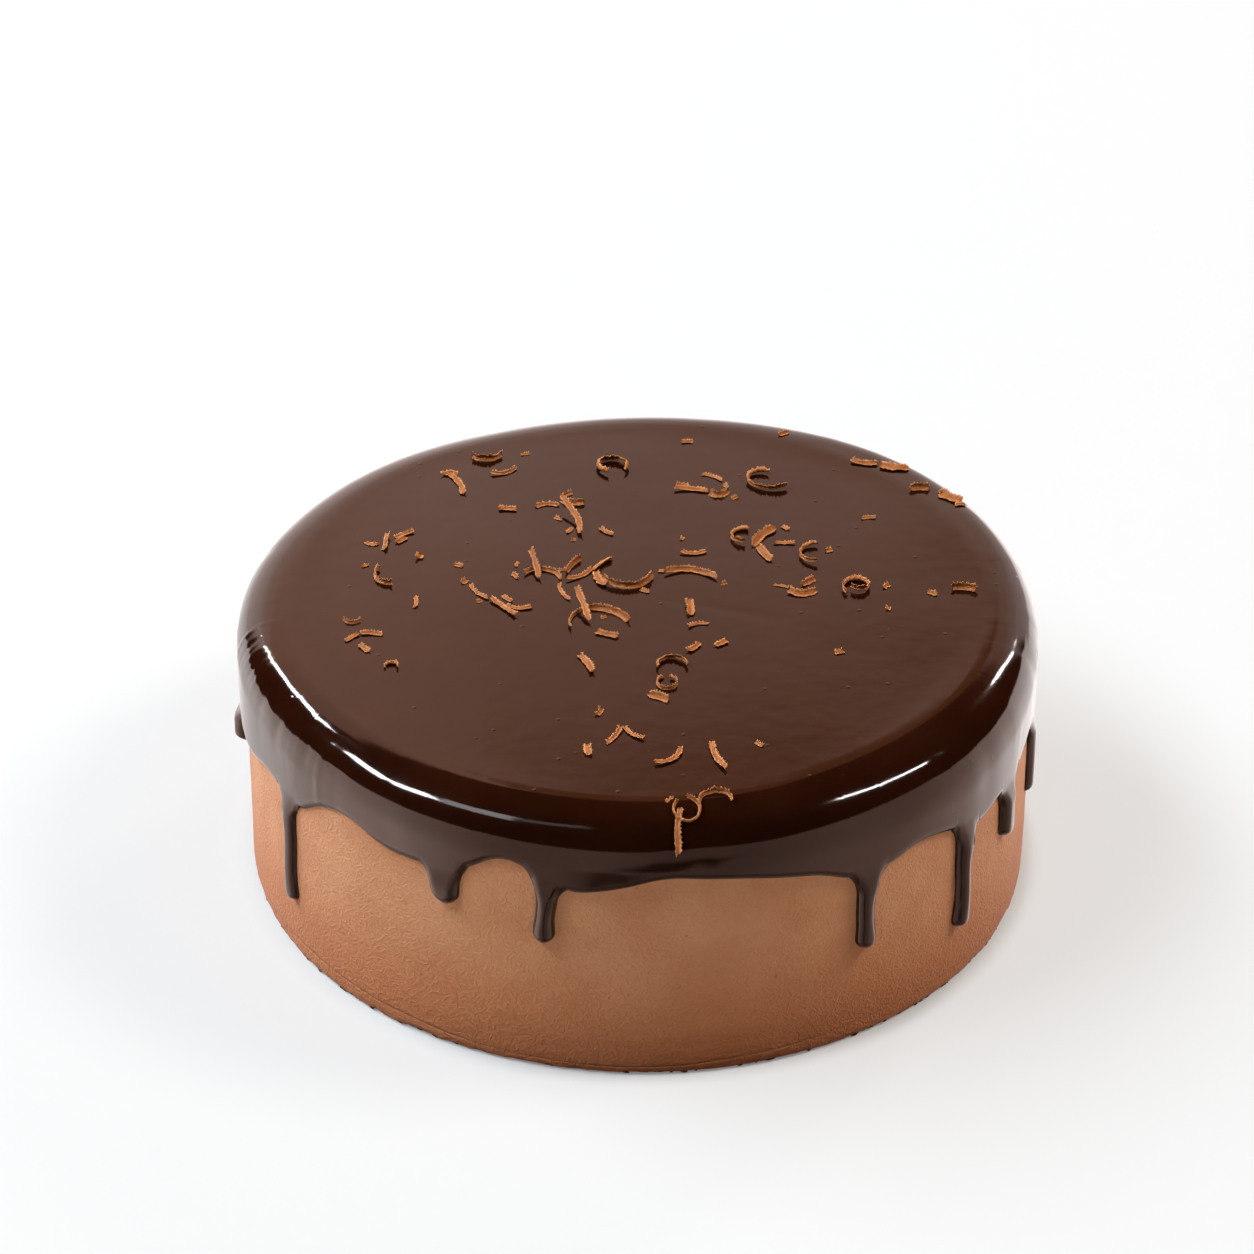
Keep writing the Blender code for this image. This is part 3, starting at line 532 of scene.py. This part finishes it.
def ribbon(seed, x, y, heading, length, bend, band, lean, lift=0, opening=0):
    """One curl's rings of points, with each point's place along it, across it and as a share of its half
    width: a band carried along a bent path, each section lowered until it touches the glaze, then raised
    towards its ends. It narrows to one end or both, or is broken off there, is hollowed a little across, and
    has toothed edges. Each line along the band starts and ends at a place of its own."""
    chance = np.random.default_rng(int(seed * 100) + 5)
    sections = int(14 + length * 6.2 + abs(bend) / 12)
    fine = np.linspace(0, 1, PATH_POINTS)
    turned = heading + bend * (fine - 0.5 + opening * (fine - fine**2 - 0.25))
    wobble = 7 * noise(fine * length * 0.35, fine * 0 + seed, NOISE_ROWS, 71)
    step = np.radians(0.5 * (turned[1:] + turned[:-1]) + wobble[1:])
    path = np.zeros((PATH_POINTS, 2))
    path[1:] = np.cumsum(np.stack([np.cos(step), np.sin(step)], axis=1), axis=0) * length / (PATH_POINTS - 1)
    path += (x, y) - path.mean(axis=0)
    tips = chance.choice((0.3, 0.7, 0.95), 2)
    tapers = chance.uniform(0.06, 0.22, 2)
    raised = np.minimum(chance.uniform(0, 0.08, 2) * length, 1.0)
    lean = math.radians(lean + chance.uniform(8, 24))
    trims = chance.uniform(0, min(0.9 / length, 0.14), (2, BAND_SIDES))
    line = np.r_[np.arange(BAND_SIDES), np.arange(BAND_SIDES)[::-1]]
    corner = np.linspace(-1, 1, BAND_SIDES)[line]
    through = np.repeat([0.5, -0.5], BAND_SIDES)
    first, last = trims[:, line]
    along = first + np.linspace(0, 1, sections)[:, None] * (1 - first - last)
    place = along * length
    plan = np.stack([np.interp(along, fine, axis) for axis in path.T], axis=-1)
    facing = np.radians(np.interp(along, fine, turned))
    narrow = np.minimum(*(tip + (1 - tip) * np.clip(way / taper, 0, 1) ** 0.7
                          for tip, taper, way in zip(tips, tapers, (along, 1 - along))))
    edge = place * 0 + seed + 5.3 * (corner > 0)
    rough = 0.26 * noise(place * 0.9, edge, NOISE_ROWS, 61) + 0.16 * noise(place * 2.6, edge, NOISE_ROWS, 63)
    tooth = 2 * np.abs((place / TOOTH_SPACING + noise(place, place * 0 + seed, NOISE_ROWS, 65)) % 1 - 0.5)
    teeth = TOOTH_HEIGHT * smooth_step(tooth, 0.4, 1) * np.abs(corner) ** 6 * np.where(corner < 0, 0.35, 1)
    wide = corner * (0.5 * BAND_SHARE * band * narrow * (1 + rough) + teeth)
    thickness = CURL_THICKNESS * (0.85 + 0.15 * np.sin(math.pi * along)) * (1 - 0.5 * corner**2)
    ruffle = 0.12 * noise(place * 0.9, place * 0 + seed, NOISE_ROWS, 67) + RIB_DEPTH * (line % 2)
    thin = through * thickness + CURL_HOLLOW * band * narrow * (corner**2 - 0.3) + ruffle
    side = wide * math.cos(lean) - thin * math.sin(lean)
    off = wide * math.sin(lean) + thin * math.cos(lean)
    off = off - off.min(axis=1, keepdims=True) - CURL_SINK
    off = off + lift * (1 - along) + raised[0] * (1 - along) ** 3 + raised[1] * along**3
    plan = plan + side[..., None] * np.stack([-np.sin(facing), np.cos(facing)], axis=-1)
    azimuth = np.degrees(np.arctan2(plan[..., 0], -plan[..., 1]))
    rings = on_glaze(azimuth, RIM_RUN - np.hypot(plan[..., 0], plan[..., 1]), off)
    return rings, place, wide, np.abs(corner) + 0 * place


def join_shells(shells):
    """Points and faces of several shells as one mesh."""
    faces, before = [], 0
    for points, shell_faces in shells:
        faces += [[i + before for i in face] for face in shell_faces]
        before += len(points)
    return np.vstack([points for points, _ in shells]), faces


def bands(name, rows, seed, seed_step, material):
    """Curls or flakes as one piece, each with a seed of its own."""
    shells, values = [], []
    for k, row in enumerate(rows):
        rings, place, side, share = ribbon(seed + k * seed_step, *row)
        shells.append(closed_shell(rings))
        values.append([np.r_[place.ravel(), 0, row[3]] + k * 7.3, np.r_[side.ravel(), 0, 0],
                       np.r_[share.ravel(), 0, 0]])
    along, across, rim_share = np.hstack(values)
    return make_piece(name, *join_shells(shells), "milk_chocolate", material, along=along, across=across,
                      rim_share=rim_share)


def chocolate_curls(material):
    """The curls that lie on the glaze, the rolled ones too, as one piece."""
    piece = bands("chocolate_curls", CURLS + ROLLS, 0, 1.37, material)
    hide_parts("fudge_glaze")


def chocolate_flakes(material):
    """The small flakes between the curls: short bands laid flat, as one piece."""
    rows = [(*place, length, 40 * math.sin(k), width, 12 + 10 * math.sin(2.3 * k))
            for k, (*place, length, width) in enumerate(FLAKES)]
    bands("chocolate_flakes", rows, 120, 1.7, material)


def lumps(centres, sizes, along, longer, seed):
    """Small lumps of crumb, each a ball of two rings of six points pushed in or out by chance, and drawn out
    along a direction."""
    chance = np.random.default_rng(seed)
    turn = np.arange(6) * math.pi / 3
    ball = np.array([np.stack([width * np.cos(turn + level), width * np.sin(turn + level), turn * 0 + level],
                              axis=1) for level, width in ((-0.55, 0.83), (0.35, 0.9))])
    shells = []
    for centre, size, way, factor in zip(centres, sizes, along, longer):
        bumpy = ball * size * chance.uniform(0.65, 1.25, ball.shape[:2])[..., None]
        points, faces = closed_shell(bumpy)
        points[-2, 2] -= 0.4 * size
        points[-1, 2] += 0.5 * size
        points += np.outer(points @ way, way) * (factor - 1)
        shells.append((points + centre, faces))
    return join_shells(shells)


FOOT_CRUMBS = 130
SIDE_CRUMBS = 26

# The spans of the crumbs' azimuth, height, size, and how much longer they are, at the foot and on the side.
CRUMB_SPANS = (
    ((-180, 180), (-180, 180)), ((0.2, 0.9), (3, 42)), ((0.16, 0.42), (0.08, 0.2)), ((1, 4.5), (1, 1.5)),
)


def foot_crumbs(material):
    """Dark crumbs caught along the cake's foot, drawn out along it, and a few small ones on its side, by
    chance from one seed."""
    chance = np.random.default_rng(7)
    azimuth, height, sizes, longer = (
        np.r_[chance.uniform(*at_foot, FOOT_CRUMBS), chance.uniform(*on_side, SIDE_CRUMBS)]
        for at_foot, on_side in CRUMB_SPANS)
    radius = CAKE_RADIUS + coat_relief(azimuth, height)[0] - lean_in(azimuth, height) - 0.12
    centres = standing(azimuth, radius, np.maximum(height, sizes))
    points, faces = lumps(centres, sizes, standing(azimuth + 90, 1, 0), longer, 8)
    make_piece("foot_crumbs", points, faces, "milk_chocolate", material)


# Materials. Sums in a shader are written as with numbers: what a node puts out is a Value.


class Value:
    """What a shader node puts out. It takes +, -, * and / as a number does, and each makes a new node."""

    def __init__(self, socket):
        self.socket = socket
        self.tree = socket.id_data

    __add__ = __radd__ = lambda self, other: maths("ADD", self, other)
    __mul__ = __rmul__ = lambda self, other: maths("MULTIPLY", self, other)
    __sub__ = lambda self, other: maths("SUBTRACT", self, other)
    __rsub__ = lambda self, other: maths("SUBTRACT", other, self)
    __truediv__ = lambda self, other: maths("DIVIDE", self, other)
    __rtruediv__ = lambda self, other: maths("DIVIDE", other, self)
    __abs__ = lambda self: maths("ABSOLUTE", self)


def set_input(socket, value):
    """Joins a socket to a Value, or else gives it a constant."""
    if isinstance(value, Value):
        value.tree.links.new(value.socket, socket)
    else:
        socket.default_value = value


def add_node(tree, kind, inputs=None, **settings):
    """A shader node with these settings, and with inputs given by name or place."""
    made = tree.nodes.new("ShaderNode" + kind)
    for key, value in settings.items():
        setattr(made, key, value)
    for key, value in (inputs or {}).items():
        set_input(made.inputs[key], value)
    return made


def node_value(tree, kind, output, inputs=None, **settings):
    """What a new node puts out at this output."""
    return Value(add_node(tree, kind, inputs, **settings).outputs[output])


def tree_of(values):
    """The node tree of the first Value among these."""
    return next(value.tree for value in values if isinstance(value, Value))


def maths(operation, *values):
    """The result of one operation on numbers and Values."""
    return node_value(tree_of(values), "Math", 0, dict(enumerate(values)), operation=operation)


def ramp(value, low, high, start=0, end=1):
    """A value carried smoothly from the span low..high to start..end."""
    inputs = {"Value": value, "From Min": low, "From Max": high, "To Min": start, "To Max": end}
    return node_value(value.tree, "MapRange", 0, inputs, interpolation_type="SMOOTHSTEP")


def ramps(value, start, *rows):
    """A start and several ramps of one value, added up."""
    return sum((ramp(value, *row) for row in rows), start)


def mix_colour(share, first, second, kind="MIX"):
    """Two colours mixed by a share."""
    inputs = {0: share, 6: first, 7: second}
    return node_value(tree_of(inputs.values()), "Mix", 2, inputs, data_type="RGBA", blend_type=kind)


def shaded(colour, factor):
    """A colour multiplied by a factor."""
    grey = node_value(factor.tree, "CombineColor", 0, dict.fromkeys(range(3), factor))
    return mix_colour(1, colour, grey, "MULTIPLY")


def place_in_mm(tree):
    """The place on the object, in millimetres."""
    inputs = {0: node_value(tree, "TexCoord", "Object"), 1: (1 / MM, 1 / MM, 1 / MM)}
    return node_value(tree, "VectorMath", 0, inputs, operation="MULTIPLY")


def noise_texture(place, size, detail=3, **more):
    """Noise in patches of this size, in the unit of the place."""
    inputs = {"Vector": place, "Scale": 1 / size, "Detail": detail, **more}
    return node_value(place.tree, "TexNoise", "Fac", inputs)


def stored(tree, name):
    """A value that the mesh has at its points."""
    return node_value(tree, "Attribute", "Fac", attribute_name=name)


def label(key):
    """A group socket's label, such as Grain strength for grain_strength."""
    return key.replace("_", " ").capitalize()


def new_group(name, **inputs):
    """A shader group with these inputs, numbers or colours, and what comes in by them."""
    tree = bpy.data.node_groups.new(name, "ShaderNodeTree")
    for key, value in inputs.items():
        kind = "NodeSocketFloat" if isinstance(value, float) else "NodeSocketColor"
        tree.interface.new_socket(label(key), in_out="INPUT", socket_type=kind).default_value = value
    given = tree.nodes.new("NodeGroupInput").outputs
    return tree, [Value(given[label(key)]) for key in inputs]


def put_out(tree, **values):
    """The shader group, finished: it puts out these colours and numbers."""
    for key, value in values.items():
        kind = "NodeSocketColor" if value.socket.type == "RGBA" else "NodeSocketFloat"
        tree.interface.new_socket(label(key), in_out="OUTPUT", socket_type=kind)
    put = tree.nodes.new("NodeGroupOutput").inputs
    for key, value in values.items():
        set_input(put[label(key)], value)
    return tree


def use_group(tree, group, **values):
    """What a group puts out, by label, where a material gives it these values."""
    inputs = {label(key): value for key, value in values.items()}
    outputs = add_node(tree, "Group", inputs, node_tree=group).outputs
    return {output.name: Value(output) for output in outputs}


def uneven_tone_group():
    """A finish's uneven colour: two colours mixed by soft patches, under a fine grain of light and dark,
    which it also puts out as a height. Sizes are in millimetres."""
    tree, (deep, pale, patch, grain_size, grain_strength) = new_group(
        "uneven_tone", deep=(0.1, 0.05, 0.02, 1), pale=(0.2, 0.1, 0.05, 1), patch=12.0, grain=1.0,
        grain_strength=0.2)
    place = place_in_mm(tree)
    tone = mix_colour(ramp(noise_texture(place, patch), 0.3, 0.7), deep, pale)
    grain = noise_texture(place, grain_size, 4)
    return put_out(tree, colour=shaded(tone, 1 + (grain - 0.5) * grain_strength), height=grain)


def specks_group():
    """Small round specks, such as bubbles or pimples, scattered by a cell pattern: 1 in a speck's middle, 0
    outside. Size is their mean spacing in millimetres, and reach a speck's radius as a share of it."""
    tree, (size, reach, share) = new_group("specks", size=3.0, reach=0.2, share=0.5)
    cells = add_node(tree, "TexVoronoi", {"Vector": place_in_mm(tree), "Scale": 1 / size}).outputs
    chance = node_value(tree, "SeparateColor", 0, {0: Value(cells["Color"])})
    near = ramp(Value(cells["Distance"]), reach, 0)
    return put_out(tree, mask=near * maths("LESS_THAN", chance, share))


def new_material(name, **values):
    """A material, its node tree, and its Principled shader with these values. A name's _ is a space."""
    material = bpy.data.materials.new(name)
    material.use_nodes = True
    shader = material.node_tree.nodes["Principled BSDF"]
    for key, value in values.items():
        shader.inputs[key.replace("_", " ").title().replace("Ior", "IOR")].default_value = value
    return material, material.node_tree, shader


def bump(shader, height, depth):
    """The shader's normal, tilted by a height: depth is what a height of 1 stands for, in millimetres."""
    inputs = {"Height": height, "Distance": depth * MM, "Strength": 1}
    set_input(shader.inputs["Normal"], node_value(height.tree, "Bump", 0, inputs))


def fudge_material(uneven_tone, specks):
    """Poured fudge glaze: a glossy dark red-brown, with a few tiny pimples and bubbles, and faint ripples."""
    material, tree, shader = new_material("fudge_glaze", specular_ior_level=0.5, ior=1.5)
    tone = use_group(tree, uneven_tone, deep=(0.012, 0.0024, 0.0008, 1), pale=(0.016, 0.0034, 0.0011, 1),
                     patch=18, grain=1.3)["Colour"]
    pimples = use_group(tree, specks, size=5.2, reach=0.13, share=0.22)["Mask"]
    bubbles = use_group(tree, specks, size=8, reach=0.045, share=0.4)["Mask"]
    set_input(shader.inputs["Base Color"], mix_colour(bubbles * 0.3, tone, (0.1, 0.05, 0.03, 1)))
    place = place_in_mm(tree)
    patches, ripples, dimples = (noise_texture(place, size, detail, Roughness=0.55)
                                 for size, detail in ((9, 3), (7, 1), (1.6, 2)))
    set_input(shader.inputs["Roughness"], ramp(patches, 0.3, 0.75, 0.06, 0.1))
    bump(shader, pimples * 0.3 - bubbles * 0.25 + dimples * 0.018 + ripples * 0.12, 0.16)
    return material


def buttercream_material(uneven_tone, specks):
    """Caramel-brown buttercream: matte, with soft patches, and painted shade that makes it deeper and redder
    towards the foot and deep brown in its pits and under its strokes. Its grain is fine wavy tracks, where a
    bent noise crosses its middle, their crests a little paler with a painted highlight; its pinholes are dark
    with painted shade."""
    material, tree, shader = new_material("buttercream", roughness=0.62, specular_ior_level=0.22, ior=1.45,
                                          sheen_weight=0.06, sheen_roughness=0.5)
    tone = use_group(tree, uneven_tone, deep=(0.59, 0.234, 0.1, 1), pale=(0.66, 0.285, 0.131, 1),
                     patch=16, grain=0.7)
    place = place_in_mm(tree)
    height = node_value(tree, "SeparateXYZ", "Z", {0: place})
    # Painted shade: the colour turns deeper and redder towards the foot, where the light is dim and warm.
    colour = mix_colour(ramp(height, 40, 2, 0, 0.8), tone["Colour"], (0.56, 0.175, 0.056, 1))
    # Painted shade: the hollows, pits, scraper line and nicks are darkened towards deep brown.
    painted_shade_brown = (0.2, 0.07, 0.026, 1)
    colour = mix_colour(ramp(stored(tree, "hollow"), 0.4, 1, 0, 0.7), colour, painted_shade_brown)
    pinholes = use_group(tree, specks, size=4.2, reach=0.06, share=0.25)["Mask"]
    # Painted shade: the pinholes are darkened as the shade inside them.
    colour = mix_colour(pinholes * 0.5, colour, (0.13, 0.045, 0.018, 1))
    tracks = ramp(abs(noise_texture(place, 1.4, 0.6, Distortion=0.5) - 0.5), 0.14, 0)
    # Painted highlight: the tracks' crests are a little paler.
    colour = mix_colour(tracks * 0.06, colour, (0.8, 0.46, 0.27, 1))
    set_input(shader.inputs["Base Color"], colour)
    bump(shader, tracks - pinholes * 0.8 + tone["Height"] * 0.35, 0.1)
    return material


def chocolate_material():
    """Milk chocolate shavings: matte, with a fine grain along the band and finer ridges across it, with
    painted shade along the middle, in the band's hollow, and a painted highlight at the thin edges."""
    material, tree, shader = new_material("milk_chocolate", roughness=0.55, specular_ior_level=0.3, ior=1.45)
    along, across, rim_share = (stored(tree, name) for name in ("along", "across", "rim_share"))
    grains = []
    for stretch_along, stretch_across in ((0.35, 2.6), (2.6, 1.2)):
        inputs = {0: along * stretch_along, 1: across * stretch_across}
        grains.append(noise_texture(node_value(tree, "CombineXYZ", 0, inputs), 1))
    grain = (grains[0] + grains[1]) * 0.5
    # deep is the grain's dark tone and also the painted shade along the middle; edge is a painted highlight.
    deep, pale, edge = (0.26, 0.064, 0.011, 1), (0.58, 0.192, 0.052, 1), (0.72, 0.3, 0.105, 1)
    colour = mix_colour(ramp(grain, 0.38, 0.62), deep, pale)
    # Painted shade along the middle of the band, in its hollow.
    colour = mix_colour(ramp(rim_share, 0.8, 0.1, 0, 0.4), colour, deep)
    # Painted highlight at the thin edges of the band.
    colour = mix_colour(ramp(rim_share, 0.6, 1, 0, 0.65), colour, edge)
    set_input(shader.inputs["Base Color"], colour)
    bump(shader, grain, 0.3)
    return material


def crumb_material(uneven_tone):
    """Dark cake crumb: matte and grainy."""
    material, tree, shader = new_material("dark_crumb", roughness=0.8, specular_ior_level=0.2)
    tone = use_group(tree, uneven_tone, deep=(0.035, 0.012, 0.006, 1), pale=(0.1, 0.04, 0.018, 1),
                     patch=1.2, grain=0.3, grain_strength=0.5)
    set_input(shader.inputs["Base Color"], tone["Colour"])
    bump(shader, tone["Height"], 0.1)
    return material


# The studio: a pale floor, soft lights, the room that the glaze mirrors, and the camera.
FLOOR_HALF = 9
FLOOR_GAP = 0.0003
FLOOR_COLOUR = (0.69, 0.64, 0.58, 1)
FLOOR_BOUNCE = (0.6, 0.55, 0.48, 1)
FLOOR_GLOW = (0.935, 0.925, 0.922, 1)
DIM_RING = (0.07, 0.045, 0.045, 1)
DIM_RING_RADIUS = 127


def make_floor():
    """A wide pale floor just under the cake, which glows softly for the camera, a painted light, so that
    shadows on it are faint; the glow is weaker close to the cake, a painted contact shadow round its foot. It
    throws up a warm light, dim in a ring round the cake's foot. The glaze mirrors the room in its place."""
    mesh = bpy.data.meshes.new("floor")
    corners = [(FLOOR_HALF * x, FLOOR_HALF * y, -FLOOR_GAP) for x, y in ((-1, -1), (1, -1), (1, 1), (-1, 1))]
    mesh.from_pydata(corners, [], [(0, 1, 2, 3)])
    material, tree, shader = new_material("pale_floor", roughness=0.9, specular_ior_level=0.1)
    radius = node_value(tree, "VectorMath", "Value", {0: place_in_mm(tree)}, operation="LENGTH")
    bounce = mix_colour(ramp(radius, DIM_RING_RADIUS - 2, DIM_RING_RADIUS + 4), DIM_RING, FLOOR_BOUNCE)
    colour = mix_colour(node_value(tree, "LightPath", "Is Diffuse Ray"), FLOOR_COLOUR, bounce)
    set_input(shader.inputs["Base Color"], colour)
    # Painted light for the camera only, weaker near the foot as a painted contact shadow.
    glowing = node_value(tree, "LightPath", "Is Camera Ray") * ramp(radius, 104, 110, 0.2, 0.6)
    glow = node_value(tree, "Emission", 0, {0: FLOOR_GLOW})
    shown = node_value(tree, "MixShader", 0, {0: glowing, 1: Value(shader.outputs[0]), 2: glow})
    set_input(tree.nodes["Material Output"].inputs["Surface"], shown)
    mesh.materials.append(material)
    floor = new_object("floor", mesh)
    floor.visible_glossy = False


LIGHT_HEIGHT = 2.2
LIGHT_TARGET = (0, 0, 0.07)

# Soft lights: start and end as multiples of their height, width in metres, radiance, and colour if not white.
SOFT_LIGHTS = (
    ((-1.12, 1.02), (-0.62, -0.44), 0.9, 14, (0.94, 1.12, 1.32)),
    ((0.82, -0.1), (0.92, 0.3), 0.7, 24.5), ((0.86, 1.05), (0.86, 1.5), 0.6, 23),
)
# Bright lines that the glaze mirrors, in the same way.
LINES = (
    ((-1.38, 1.58), (-1.03, 1.15), 0.2, 30), ((-1.02, 1.13), (-0.87, 0.72), 0.26, 42),
    ((-0.87, 0.72), (-0.9, 0.55), 0.22, 36), ((-1.2, 0.22), (-1.21, -0.17), 0.32, 42),
    ((-1.2, -0.2), (-0.83, -0.29), 0.3, 42), ((-0.8, -0.32), (-0.48, -0.46), 0.42, 4),
    ((-0.45, -0.45), (-0.2, -0.44), 0.22, 0.9), ((0.72, -0.11), (1, -0.02), 0.15, 34),
    ((1, -0.01), (1.26, 0.18), 0.15, 34), ((0.96, 1.08), (1.18, 1.28), 0.18, 42),
    ((1.22, 1.33), (1.6, 1.74), 0.18, 38),
)


def strip_light(name, start, end, width, radiance, colour=(1, 1, 1)):
    """A long soft strip light between two places, facing the cake."""
    start, end = (LIGHT_HEIGHT * np.array((*place, 1)) for place in (start, end))
    length = np.linalg.norm(end - start)
    light = bpy.data.lights.new(name, "AREA")
    light.shape = "RECTANGLE"
    light.size, light.size_y = length, width
    light.energy = radiance * length * width * math.pi
    light.color = colour
    strip = new_object(name, light)
    along = (end - start) / length
    middle = (start + end) / 2
    back = middle - LIGHT_TARGET
    back -= along * (back @ along)
    back /= np.linalg.norm(back)
    turned = np.stack([along, np.cross(back, along), back], axis=1)
    strip.matrix_world = Matrix.Translation(middle) @ Matrix(turned.tolist()).to_4x4()
    return strip


# Dark gaps in what the glaze mirrors low down: how far each slants aside with up, its middle, its outer and
# inner half width in degrees, then its middle up, its outer and inner half height, and how dark it is.
GAPS = ((35, 17, 16, 5, -0.22, 0.3, 0.1, 0.86), (0, -9, 17, 1, -0.6, 0.14, 0.04, 0.78))


def mirrored_backdrop(aside, behind, up):
    """The pale backdrop behind the cake, brown above, that the glaze mirrors: where it shows, up to a soft
    edge, its colour, and how bright it is from side to side."""
    colour = mix_colour(ramp(up, 0.34, 0.48), (1.4, 1.06, 0.97, 1), (1.32, 0.84, 0.68, 1))
    colour = mix_colour(ramp(up, 0.49, 0.55), colour, (1.15, 0.6, 0.43, 1))
    browning = up + aside * 0.18 - ramps(aside, 0, (-0.04, -0.16, 0, 0.35), (0.12, 0.34, 0, 0.1))
    colour = mix_colour(ramp(browning, 0.55, 0.58), colour, (0.56, 0.195, 0.08, 1))
    edge = up - ramp(aside, -0.45, 0.35, 0.77, 0.6)
    shown = ramp(edge, 0.02, -0.02) * ramp(behind, 0.68, 0.76) * ramp(up, -0.08, 0.02)
    return shown, colour, ramps(aside, 0, (-0.12, 0.01, 0.28, 0), (0, 0.3, 0.93, 0.84))


def mirrored_surround(turned, up):
    """The pale surround low down that the glaze mirrors: where it shows, up to a soft edge highest in front,
    its colour, warm in front and whiter at the sides, and how bright it is: dim in front, with two dark gaps,
    and dim again at the back and far down."""
    away = abs(turned)
    level = ramps(turned, 0, (-14, 8, 0.9, 0.62), (-28, -86, 0, 1.6), (25, 65, 0, 0.42),
                  (72, 130, 0, 1.46))
    level *= ramp(turned, -118, -150, 1, 0.62) * ramp(turned, 150, 180, 1, 0.62)
    for slant, middle, outer, inner, height, tall, flat_part, depth in GAPS:
        gap_aside, gap_up = abs(turned - (up * slant + middle)), abs(up - height)
        level *= 1 - ramp(gap_aside, outer, inner) * ramp(gap_up, tall, flat_part, 0, depth)
    level *= 1 - ramp(up, -0.25, -0.55, 0, 0.28) * ramp(away, 72, 108)
    level *= ramp(up, -0.66, -0.82, 1, 0.35)
    edge = ramps(turned, -0.02, (-112, -94, 0, 0.16), (-80, -30, 0, 0.14),
                 (-30, 20, 0, 0.1), (25, 45, 0, -0.05), (70, 115, 0, -0.2))
    warm = mix_colour(ramp(turned, -35, -75), (1, 0.61, 0.49, 1), (1, 0.7, 0.61, 1))
    colour = mix_colour(ramp(away, 75, 150), warm, (1, 0.92, 0.9, 1))
    return ramp(up - edge, 0.018, -0.018), colour, level


def mirrored_room(x, y, up):
    """What the glaze mirrors, by direction: a pale surround low down, a backdrop behind the cake, and a dark
    room for the rest. turned is in degrees, 0 in front and 90 at the right."""
    flat = maths("MAXIMUM", maths("SQRT", x * x + y * y), 0.001)
    turned = maths("DEGREES", maths("ARCTAN2", x, y * -1))
    low, surround, level = mirrored_surround(turned, up)
    shown, backdrop, side = mirrored_backdrop(x / flat, y / flat, up)
    dark = mix_colour(ramp(abs(turned), 40, 90), (0.012, 0.006, 0.005, 1), (0.09, 0.022, 0.01, 1))
    strength = 1 + low * (level - 1)
    strength += shown * (side - strength)
    return shaded(mix_colour(shown, mix_colour(low, dark, surround), backdrop), strength)


FILL_LIGHT = (0.08, 0.079, 0.078, 1)
SEEN_BACKGROUND = (0.915, 0.915, 0.915, 1)


def make_lights():
    """Soft lights over both sides, the bright lines and the room that the glaze mirrors, and a faint even
    fill light. The camera sees a pale background."""
    for kind, rows in (("soft", SOFT_LIGHTS), ("line", LINES)):
        for k, row in enumerate(rows):
            light = strip_light(f"{kind}_{k}", *row)
            light.visible_glossy = kind == "line"
            light.visible_diffuse = kind == "soft"
    world = bpy.data.worlds.new("studio")
    world.use_nodes = True
    bpy.context.scene.world = world
    tree = world.node_tree
    way = add_node(tree, "SeparateXYZ", {0: node_value(tree, "TexCoord", "Generated")})
    room = mirrored_room(*(Value(output) for output in way.outputs))
    colour = mix_colour(node_value(tree, "LightPath", "Is Glossy Ray"), FILL_LIGHT, room)
    colour = mix_colour(node_value(tree, "LightPath", "Is Camera Ray"), colour, SEEN_BACKGROUND)
    set_input(tree.nodes["Background"].inputs["Color"], colour)


# The camera: its place in metres, how far in degrees it looks down, to the right and is rolled, and its lens
# as a multiple of the picture's width.
CAMERA_PLACE = (0.0005, -0.8896, 0.636)
CAMERA_TURNS = (32.63, -0.26, 0.615)
CAMERA_REACH = 4000 / 1254


def make_camera():
    """The camera, at the photograph's place and angle: 0.89 m in front and 0.64 m up."""
    pitch, pan, roll = np.radians(CAMERA_TURNS)
    turned = Matrix.Rotation(-pan, 4, "Z") @ Matrix.Rotation(math.pi / 2 - pitch, 4, "X")
    data = bpy.data.cameras.new("camera")
    data.sensor_width = 36
    data.lens = CAMERA_REACH * data.sensor_width
    data.clip_start = 0.05
    data.clip_end = 60
    camera = new_object("camera", data)
    camera.matrix_world = Matrix.Translation(CAMERA_PLACE) @ turned @ Matrix.Rotation(roll, 4, "Z")
    bpy.context.scene.camera = camera


uneven_tone, specks = uneven_tone_group(), specks_group()
buttercream_coat(buttercream_material(uneven_tone, specks))
poured_glaze(fudge_material(uneven_tone, specks))
milk_chocolate = chocolate_material()
chocolate_curls(milk_chocolate)
chocolate_flakes(milk_chocolate)
foot_crumbs(crumb_material(uneven_tone))
make_floor()
make_lights()
make_camera()
bpy.context.scene.view_settings.view_transform = "Standard"
